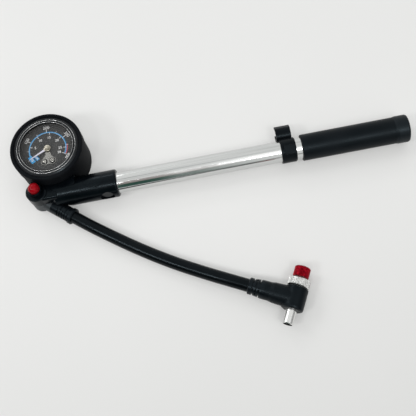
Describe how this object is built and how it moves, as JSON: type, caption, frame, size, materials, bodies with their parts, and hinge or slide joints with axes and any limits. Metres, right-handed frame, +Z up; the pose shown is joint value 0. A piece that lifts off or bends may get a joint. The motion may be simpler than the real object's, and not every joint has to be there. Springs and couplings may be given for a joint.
{
  "type": "bicycle suspension pump",
  "caption": "Slim high-pressure bicycle hand pump with a dial gauge, bleed button, telescoping handle and a short swivelling hose that ends in a screw-on valve chuck.",
  "frame": {"origin": "centre of the base of the pump as it lies on a table, gauge face up", "axes": "+X along the barrel from the head to the handle, +Y towards the gauge, +Z up, out of the dial"},
  "size_m": [0.351, 0.2235, 0.0386],
  "materials": {
    "head_plastic": "satin moulded black",
    "swivel_plastic": "satin moulded black, catching the light",
    "clip_plastic": "satin moulded black",
    "cap_plastic": "satin black",
    "chuck_plastic": "satin black",
    "guard_rubber": "satin black rubber",
    "grip_rubber": "smooth black rubber",
    "boot_rubber": "black rubber",
    "hose_rubber": "smooth black rubber",
    "seal_rubber": "black nitrile",
    "bezel_black": "gloss black",
    "case_metal": "black enamel",
    "dial_face": "matt dark grey print",
    "lens": "clear",
    "barrel_metal": "polished",
    "handle_metal": "plain",
    "chuck_metal": "polished",
    "collar_metal": "knurled, satin",
    "red_button": "gloss red",
    "red_knob": "red anodised",
    "steel": "plain",
    "dial_steel": "bright",
    "hub_metal": "pale satin brass",
    "pointer_white": "white enamel",
    "brass": "turned",
    "piston_plastic": "natural nylon"
  },
  "bodies": {
    "pump_body": {"barrel": "barrel_metal", "barrel_seal": "seal_rubber", "bleed_collar": "head_plastic", "bleed_spring": "steel", "bourdon_tube": "brass", "check_valve_ball": "steel", "check_valve_seat": "brass", "check_valve_spring": "steel", "dial_plate": "dial_steel", "dial_screws": "dial_steel", "dial_washers": "case_metal", "gauge_bezel": "bezel_black", "gauge_case": "case_metal", "gauge_dial": "dial_face", "gauge_guard": "guard_rubber", "gauge_lens": "lens", "gauge_stem": "brass", "head_body": "head_plastic", "lens_gasket": "seal_rubber", "movement_frame": "brass", "pointer_stop_pin": "steel", "rod_guide_bush": "brass", "rod_wiper": "seal_rubber", "stem_seal": "seal_rubber", "swivel_post": "brass", "swivel_seal_rings": "seal_rubber"},
    "pointer_body": {"pointer": "pointer_white", "pointer_hub": "hub_metal", "pinion_spindle": "steel"},
    "sector_body": {"sector_gear": "brass"},
    "bleed_valve": {"bleed_button": "red_button", "bleed_pin": "steel", "bleed_seal": "seal_rubber"},
    "plunger": {"piston_rod": "steel", "piston": "piston_plastic", "piston_ring": "seal_rubber", "piston_nut": "steel", "bump_stop": "seal_rubber", "handle_tube": "handle_metal", "handle_grip": "grip_rubber", "handle_cap": "cap_plastic", "cap_screw": "steel"},
    "hose_clip": {"clip_collar": "clip_plastic"},
    "hose_assembly": {"swivel_banjo": "swivel_plastic", "hose_barb": "brass", "head_boot": "boot_rubber", "hose": "hose_rubber", "chuck_boot": "boot_rubber", "chuck_body": "chuck_plastic"},
    "thread_sleeve": {"chuck_sleeve": "chuck_metal", "thread_collar": "collar_metal", "chuck_seal": "seal_rubber", "sleeve_seal_rings": "seal_rubber"},
    "core_pin_body": {"core_pin": "steel"},
    "core_knob_body": {"core_knob": "red_knob"}
  },
  "joints": [
    {"name": "handle_stroke", "type": "slide", "parent": "pump_body", "child": "plunger", "axis": [1, 0, 0], "range_m": [0, 0.205]},
    {"name": "hose_swivel", "type": "hinge", "parent": "pump_body", "child": "hose_assembly", "pos_m": [-0.1581, -0.02735, 0.0078], "axis": [0, 0, 1], "range_deg": [-150, 3]},
    {"name": "thread_sleeve_turn", "type": "hinge", "parent": "hose_assembly", "child": "thread_sleeve", "pos_m": [0.04563, -0.16008, 0.0096], "axis": [-0.454, -0.891, 0], "continuous": true},
    {"name": "core_press", "type": "slide", "parent": "thread_sleeve", "child": "core_pin_body", "axis": [-0.454, -0.891, 0], "range_m": [0, 0.0014]},
    {"name": "core_knob_turn", "type": "hinge", "parent": "core_pin_body", "child": "core_knob_body", "pos_m": [0.05471, -0.14226, 0.0096], "axis": [-0.454, -0.891, 0], "range_deg": [0, 504.1]},
    {"name": "bleed_press", "type": "slide", "parent": "pump_body", "child": "bleed_valve", "axis": [0, 0, -1], "range_m": [0, 0.0018], "stiffness_N_per_m": 600, "springref_m": -0.002, "deforming": ["bleed_spring"]},
    {"name": "sector_swing", "type": "hinge", "parent": "pump_body", "child": "sector_body", "pos_m": [-0.1427, -0.00525, 0.0249], "axis": [0, 0, 1], "range_deg": [0, 33.3], "stiffness_Nm_per_rad": 0.0005, "springref_deg": -2.86},
    {"name": "pointer_turn", "type": "hinge", "parent": "pump_body", "child": "pointer_body", "pos_m": [-0.1427, 0.00875, 0.0249], "axis": [0, 0, 1], "range_deg": [-233.1, 0]},
    {"name": "hose_clip_turn", "type": "hinge", "parent": "pump_body", "child": "hose_clip", "pos_m": [0.068, -0.02735, 0.0125], "axis": [1, 0, 0], "continuous": true}
  ],
  "couplings": [
    {"joint": "pointer_turn", "follows": "sector_swing", "ratio": -7},
    {"joint": "core_knob_turn", "follows": "core_press", "rad_per_m": 6283.2}
  ]
}
